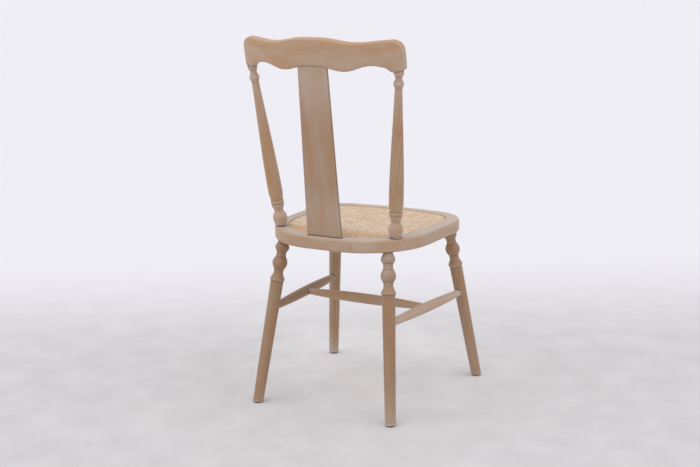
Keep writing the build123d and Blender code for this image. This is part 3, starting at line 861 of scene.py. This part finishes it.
@dataclass
class CaneSeat:
    """The woven cane panel and the reed spline that holds its edge in the groove.

    Pairs of strands run front to back and side to side, and single ones both ways between them, so
    that eight-sided holes are left. The sizes are those of common half-inch webbing.
    """

    finish: SplitCane = field(default_factory=SplitCane)  # The cane's finish
    # The reed's finish
    reed_finish: SplitCane = SplitCane(light="D6BE9C", dark="BFA07C", mark="8A6A4A", fibre_mm=0.7)
    pitch: float = 0.0127  # Distance between pairs, in metres
    pair_gap: float = 0.0029  # Distance between the two strands of a pair, centre to centre
    strand_width: float = 0.0028  # Width of the paired strands
    diagonal_width: float = 0.0030  # Width of the diagonal strands
    strand_thickness: float = 0.0012  # Thickness of a strand
    # A strand's section, as shares of half its width and of its thickness
    section: Marks = (
        (-1.0, -0.10), (-0.55, 0.36), (0.0, 0.5), (0.55, 0.36),
        (1.0, -0.10), (0.45, -0.5), (-0.45, -0.5),
    )
    level: float = 0.4587  # Height of the weave's middle
    samples: int = 8  # Points for each pitch along a strand
    edge_inset: float = 0.0014  # How far inside the panel's edge the strands turn down into the groove
    ease: float = 0.006  # How far from there a strand's rise and fall has its full height
    shortest: float = 0.012  # Length of the shortest strand
    tuck_level: float = 0.4540  # Height of the strands' ends in the groove
    reed_width: float = 0.0032  # Width of the reed spline
    reed_rise: float = 0.0012  # How far the reed's round top rises over its sides
    reed_steps: int = 8  # How many straight pieces its round top has
    reed_tone: float = 0.55  # The reed's tone, where 0 is pale and 1 is tanned
    # A strand's usual tone, and how far most strands are from it
    tone: tuple[float, float] = (0.45, 0.12)
    falling_shade: float = 0.3  # How much darker the falling strands are painted, as painted shade that damps the bright lines they catch
    jitter: float = 0.00012  # How far most strands lie from their proper line
    width_spread: float = 0.03  # How far most widths are from the proper one, as a share of it
    seed: int = 11  # Seed of the strands' tones and small shifts

    def top_points(self, node: str) -> Rows:
        """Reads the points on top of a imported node, as rows of x and y in metres."""
        points = node_points(node)
        return points[points[:, 2] > points[:, 2].max() - TOP_SLACK][:, :2]

    def hull(self, points: Rows) -> Rows:
        """Finds the convex outline of a set of points.

        Args:
            points: Rows of x and y.

        Returns:
            The outline's corners, counterclockwise.
        """
        mesh = bmesh.new()
        for x, y in points:
            mesh.verts.new((x, y, 0.0))
        result = bmesh.ops.convex_hull(mesh, input=mesh.verts)
        kept = {v for v in result["geom"] if isinstance(v, bmesh.types.BMVert)}
        corners = np.array([v.co[:2] for v in kept])
        mesh.free()
        return corners[np.argsort(np.arctan2(corners[:, 1], corners[:, 0]))]

    def inward(self, outline: Rows) -> Rows:
        """Works out which way is inwards at each point of a convex outline.

        Args:
            outline: Rows of x and y, counterclockwise.

        Returns:
            Rows of x and y, each of length 1.
        """
        tangent = np.roll(outline, -1, axis=0) - np.roll(outline, 1, axis=0)
        tangent /= np.linalg.norm(tangent, axis=1, keepdims=True)
        return np.stack([-tangent[:, 1], tangent[:, 0]], axis=1)

    def chord(self, outline: Rows, origin: Rows, along: Rows) -> tuple[float, float] | None:
        """Finds where a line enters and leaves a convex outline.

        Args:
            outline: Rows of x and y.
            origin: A point on the line.
            along: The line's direction, of length 1.

        Returns:
            The two distances along the line, or None if the line misses the outline.
        """
        offset = (outline - origin) @ np.array([-along[1], along[0]])
        reach = (outline - origin) @ along
        i = np.flatnonzero((offset < 0) != (np.roll(offset, -1) < 0))
        j = (i + 1) % len(outline)
        found = reach[i] + offset[i] / (offset[i] - offset[j]) * (reach[j] - reach[i])
        return (found.min(), found.max()) if len(found) == 2 else None

    def height(self, strand: Strand, distance: Rows, number: int) -> Rows:
        """Gives a strand's height over the weave's middle along its length.

        The paired strands pass over and under each other singly. The rising strands pass over the
        pairs that run backward and under those that run across, and the falling ones do the reverse.

        Args:
            strand: The strand's direction.
            distance: Distances from the weave's origin, in pitches.
            number: Which of the two strands of a pair it is, 0 or 1.

        Returns:
            The heights, in metres.
        """
        if strand.diagonal:
            sign = 1 if strand is Strand.RISING else -1
            return sign * np.cos(2 * math.pi * distance) * self.strand_thickness * 0.9
        sign = 1 if (number == 0) == (strand is Strand.BACKWARD) else -1
        shift = self.pair_gap / self.pitch / 2
        near = (distance + 0.5) % 1.0 - 0.5
        swing = np.where(np.abs(near) < 0.25, np.sin(np.clip(near / shift, -1, 1) * math.pi / 2), 0)
        return sign * swing * self.strand_thickness * 0.5

    def strand_path(self, strand: Strand, start: Rows, end: Rows, number: int) -> Rows:
        """Lays one strand across the panel and turns both ends down into the groove.

        Args:
            strand: The strand's direction.
            start: Where it turns down at one end, x and y.
            end: Where it turns down at the other end.
            number: Which of a pair it is.

        Returns:
            Rows of x, y and z along the strand, in metres.
        """
        length = float(np.linalg.norm(end - start))
        along = (end - start) / length
        pitches = length / self.pitch / math.sqrt(2) if strand.diagonal else length / self.pitch
        reach = np.linspace(0, length, max(3, int(pitches * self.samples) + 1))
        flat = start + reach[:, None] * along
        distance = flat[:, 1 if strand is Strand.BACKWARD else 0] / self.pitch
        ease = np.clip(np.minimum(reach, length - reach) / self.ease, 0, 1)
        ease = ease * ease * (3 - 2 * ease)
        body = np.column_stack([flat, self.level + self.height(strand, distance, number) * ease])
        tip = self.strand_thickness
        bend = ((0.35, self.level - 0.5 * tip), (0.8, self.level - 2.2 * tip), (0.9, self.tuck_level))
        first = [[*(start - along * tip * share), z] for share, z in reversed(bend)]
        last = [[*(end + along * tip * share), z] for share, z in bend]
        return np.vstack([first, body, last])

    def ribbon(self, path: Rows, along: Rows, width: float) -> tuple[Rows, Rows]:
        """Sweeps a strand's lens-shaped section along a path.

        Args:
            path: Rows of x, y and z.
            along: The strand's direction, seen from above.
            width: The strand's width.

        Returns:
            The points of all sections in order, and for each the distances across and along.
        """
        across = np.array([-along[1], along[0], 0.0])
        tangent = np.gradient(path, axis=0)
        tangent /= np.linalg.norm(tangent, axis=1, keepdims=True)
        normal = np.cross(tangent, across)
        normal *= np.where(normal[:, 2:] < 0, -1, 1) / np.linalg.norm(normal, axis=1, keepdims=True)
        half, thick = width / 2, self.strand_thickness
        rows = [path + across * (half * x) + normal * (thick * y) for x, y in self.section]
        run = np.concatenate([[0.0], np.cumsum(np.linalg.norm(np.diff(path, axis=0), axis=1))])
        marks = np.array([[half * x, d, y * thick] for d in run for x, y in self.section])
        return np.stack(rows, axis=1).reshape(-1, 3), marks

    def runs(self, edge: Rows) -> Iterator[tuple[Strand, Rows, int, float]]:
        """Lists the lines of all the strands.

        Args:
            edge: Where the strands turn down, as rows of x and y.

        Yields:
            A strand's direction, a point on its line, which of a pair it is, and its width.
        """
        low, high = edge.min(axis=0), edge.max(axis=0)
        for strand, axis in ((Strand.BACKWARD, 0), (Strand.ACROSS, 1)):
            for i in range(int(low[axis] / self.pitch) - 1, int(high[axis] / self.pitch) + 2):
                for number in (0, 1):
                    origin = np.zeros(2)
                    origin[axis] = i * self.pitch + (number - 0.5) * self.pair_gap
                    yield strand, origin, number, self.strand_width
        span = int((high - low).sum() / self.pitch) + 2
        for k in range(-span, span):
            for strand in (Strand.RISING, Strand.FALLING):
                yield strand, np.array([(k + 0.5) * self.pitch, 0.0]), 0, self.diagonal_width

    def write_marks(self, piece: Piece, tones: Sequence[float], marks: Rows) -> None:
        """Writes what the finish reads from the mesh.

        Args:
            piece: The woven panel or the reed.
            tones: Each point's tone.
            marks: Each point's distances across and along its strand.
        """
        tone_layer = piece.data.attributes.new("strand", "FLOAT", "POINT")
        tone_layer.data.foreach_set("value", np.asarray(tones, np.float32))
        mark_layer = piece.data.attributes.new("along", "FLOAT_VECTOR", "POINT")
        mark_layer.data.foreach_set("vector", np.asarray(marks, np.float32).ravel())

    def weave(self, material: Material) -> Piece:
        """Weaves all the strands into one mesh.

        Args:
            material: The cane's finish.

        Returns:
            The woven panel.
        """
        random = np.random.default_rng(self.seed)
        panel = self.hull(self.top_points("cane_panel"))
        edge = panel + self.inward(panel) * self.edge_inset
        points, faces, tones, marks = [], [], [], []
        total, corners = 0, len(self.section)
        for strand, origin, number, width in self.runs(edge):
            along = np.array(strand.value)
            jitter = random.normal(0, self.jitter)
            tone = float(np.clip(random.normal(*self.tone), 0, 1))
            # The falling strands are painted darker, as painted shade against the highlights along them
            tone += self.falling_shade if strand is Strand.FALLING else 0.0
            origin = origin + np.array([-along[1], along[0]]) * jitter
            cut = self.chord(edge, origin, along)
            if cut is None or cut[1] - cut[0] < self.shortest:
                continue
            path = self.strand_path(strand, origin + along * cut[0], origin + along * cut[1], number)
            ring, mark = self.ribbon(path, along, width * (1 + random.normal(0, self.width_spread)))
            # Each strand takes its streaks from a place of its own
            mark[:, 1] += random.uniform(0, 3)
            mark[:, 0] += random.uniform(0, 1)
            # The corners of these faces go the other way round
            for a in range(total, total + (len(path) - 1) * corners, corners):
                faces += [(p, s, r, q) for p, q, r, s in joined_rings(a, a + corners, corners)]
            faces.append(tuple(range(total, total + corners))[::-1])
            total += len(ring)
            faces.append(tuple(range(total - corners, total)))
            points.append(ring)
            marks.append(mark)
            tones += [tone] * len(ring)
        woven = new_piece("woven_cane_panel", np.vstack(points), faces, material)
        self.write_marks(woven, tones, np.vstack(marks))
        log.info("woven cane panel has %d points", total)
        return woven

    def groove_edge(self, turns: Rows) -> Rows:
        """Reads the outer edge of the groove, seen from above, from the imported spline.

        Args:
            turns: The angles round the chair's middle to answer for.

        Returns:
            Rows of x and y, one for each angle.
        """
        corners = self.hull(np.unique(np.round(self.top_points("cane_spline"), 6), axis=0))
        side = np.roll(corners, -1, axis=0) - corners
        outward = np.stack([side[:, 1], -side[:, 0]], axis=1)
        ray = np.stack([np.cos(turns), np.sin(turns)], axis=1)
        # The side that a ray meets first is the one that it runs out through fastest
        speed = ray @ outward.T / (corners * outward).sum(axis=1)
        return ray / speed.max(axis=1)[:, None]

    def reed(self, material: Material) -> Piece:
        """Bends the reed spline round the groove, with a half-round top.

        Args:
            material: The reed's finish.

        Returns:
            The reed.
        """
        low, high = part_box("cane_spline")
        outer = self.groove_edge(np.linspace(-math.pi, math.pi, 361)[:-1])
        inward, half = self.inward(outer), self.reed_width / 2
        middle = outer + inward * half
        section = [(-half, low.z)]
        for k in range(self.reed_steps + 1):
            swing = math.pi * k / self.reed_steps
            section.append((-half * math.cos(swing), high.z - self.reed_rise * (1 - math.sin(swing))))
        section.append((half, low.z))
        count, corners = len(middle), len(section)
        rows = [np.column_stack([middle + inward * across, np.full(count, z)]) for across, z in section]
        faces = []
        for s in range(count):
            faces += joined_rings(s * corners, (s + 1) % count * corners, corners)
        reed = new_piece("reed_spline", np.stack(rows, axis=1).reshape(-1, 3), faces, material)
        run = np.concatenate([[0.0], np.cumsum(np.linalg.norm(np.diff(middle, axis=0), axis=1))])
        marks = np.array([[across, d, z] for d in run for across, z in section])
        self.write_marks(reed, [self.reed_tone] * len(marks), marks)
        return reed

    def build(self) -> list[Piece]:
        """Builds the seat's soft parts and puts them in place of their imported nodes.

        Returns:
            The woven panel and the reed.
        """
        panel = self.weave(self.finish.material("split_rattan_cane"))
        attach(panel, "root")
        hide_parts("cane_panel")
        reed = self.reed(self.reed_finish.material("round_reed"))
        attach(reed, "root")
        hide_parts("cane_spline")
        return [panel, reed]


@dataclass
class Feet:
    """The plastic glides under the legs and the nails that hold them."""

    plastic: MouldedPolyethylene = field(default_factory=MouldedPolyethylene)  # The glides' finish
    steel: DrawnSteel = field(default_factory=DrawnSteel)  # The nails' finish

    def dress_all(self) -> None:
        """Dresses the four glides and the nails."""
        moulded = self.plastic.material("moulded_polyethylene")
        for end in ("front", "back"):
            for side in ("left", "right"):
                dress(f"foot_glide_{end}_{side}", moulded)
        dress("glide_nails", self.steel.material("drawn_steel"))


def direction(azimuth: float, elevation: float) -> Vector:
    """Gives the direction from the chair to a place round it.

    Args:
        azimuth: The angle round the chair, in degrees, where 0 is in front.
        elevation: The angle over the floor, in degrees.

    Returns:
        The direction, of length 1.
    """
    a, e = math.radians(azimuth), math.radians(elevation)
    return Vector((math.sin(a) * math.cos(e), -math.cos(a) * math.cos(e), math.sin(e)))


@dataclass(frozen=True)
class Lamp:
    """A far soft lamp."""

    name: str  # The lamp's name
    azimuth: float  # Its angle round the chair, in degrees, where 0 is in front
    elevation: float  # Its angle over the floor, in degrees
    strength: float  # Its strength, in watts for each square metre
    spread: float  # How wide it looks from the chair, in degrees

    def build(self) -> None:
        """Puts the lamp in the scene."""
        data = bpy.data.lights.new(self.name, "SUN")
        data.energy = self.strength
        data.angle = math.radians(self.spread)
        made = bpy.data.objects.new(self.name, data)
        bpy.context.scene.collection.objects.link(made)
        towards = direction(self.azimuth, self.elevation)
        made.rotation_euler = towards.to_track_quat("Z", "Y").to_euler()


@dataclass
class Studio:
    """The floor, the light and the camera."""

    eye: Triple = (-1.6713, 3.0153, 1.2168)  # The camera's place, in metres
    azimuth: float = 209.49  # The camera's angle round the chair, in degrees, where 0 is in front
    elevation: float = 12.87  # How far the camera looks down, in degrees
    roll: float = -1.013  # The camera's turn about its own line, in degrees
    focal_px: float = 1341.1  # Focal length in pixels of the photograph's frame
    image_width: float = 700.0  # Width of that frame in pixels
    sensor_mm: float = 36.0  # Sensor width
    paint: PaintedFloor = PaintedFloor()  # The floor's finish
    # The lamps
    lamps: tuple[Lamp, ...] = (
        Lamp("softbox_right", 275.0, 40.0, 0.42, 50.0),
        Lamp("softbox_left", 150.0, 42.0, 0.68, 75.0),
        Lamp("softbox_above", 205.0, 72.0, 0.72, 60.0),
    )
    sky_light: float = 0.6  # Strength of the light from all round
    # Radius of each ring of the floor's mesh, in metres
    floor_rings: tuple[float, ...] = (1.0, 2.0, 4.0, 8.0, 30.0)
    floor_segments: int = 64  # How many segments each ring has

    def camera(self) -> None:
        """Puts the camera where the photograph was taken from."""
        back = direction(self.azimuth, self.elevation)
        a, r = math.radians(self.azimuth), math.radians(self.roll)
        level = Vector((math.cos(a), math.sin(a), 0.0))
        upright = back.cross(level)
        right = level * math.cos(r) + upright * math.sin(r)
        top = upright * math.cos(r) - level * math.sin(r)
        data = bpy.data.cameras.new("photograph_camera")
        data.sensor_width = self.sensor_mm
        data.lens = self.focal_px / self.image_width * self.sensor_mm
        data.clip_start, data.clip_end = 0.05, 100.0
        made = bpy.data.objects.new("photograph_camera", data)
        bpy.context.scene.collection.objects.link(made)
        rotation = Matrix((right, top, back)).transposed().to_4x4()
        made.matrix_world = Matrix.Translation(Vector(self.eye)) @ rotation
        bpy.context.scene.camera = made

    def sky(self) -> None:
        """Lights the chair from all round, and shows a pale background to the camera."""
        world = bpy.data.worlds.new("studio")
        bpy.context.scene.world = world
        world.use_nodes = True
        tree = world.node_tree
        tree.nodes.clear()
        add = partial(add_node, tree)
        seen = add("LightPath", out="Is Camera Ray")
        rays = seen.node.outputs
        for ray in ("Is Glossy Ray", "Is Transmission Ray"):
            seen = add("Math", (seen, rays[ray]), operation="MAXIMUM")
        light = add("Background", {"Color": WHITE, "Strength": self.sky_light})
        pale = add("Background", {"Color": linear_colour(self.paint.far), "Strength": 1.0})
        mixed = add("MixShader", (seen, light, pale))
        add("OutputWorld", {"Surface": mixed})

    def floor(self) -> None:
        """Lays a wide pale floor."""
        count = self.floor_segments
        turns = [2 * math.pi * k / count for k in range(count)]
        points = [(0.0, 0.0, 0.0)]
        for radius in self.floor_rings:
            points += [(radius * math.cos(turn), radius * math.sin(turn), 0.0) for turn in turns]
        faces = [(0, 1 + k, 1 + (k + 1) % count) for k in range(count)]
        for first in range(1, len(points) - count, count):
            faces += joined_rings(first, first + count, count)
        away = -direction(self.azimuth, 0.0)
        finish = replace(self.paint, away=tuple(away))
        painted = finish.material("painted_studio_floor")
        ground = new_piece("studio_floor", np.array(points), faces, painted)

    def build(self) -> None:
        """Sets up the whole studio."""
        self.camera()
        self.sky()
        self.floor()
        for lamp in self.lamps:
            lamp.build()
        bpy.context.scene.view_settings.view_transform = "Standard"


def main() -> None:
    """Builds and dresses the chair, and sets up the studio."""
    timber = Timber()
    timber.dress_back()
    timber.dress_seat_frame()
    timber.dress_underframe()
    Feet().dress_all()
    for piece in CaneSeat().build():
        log.info("%s is in place", piece.name)
    Studio().build()


if __name__ == "__main__":
    main()
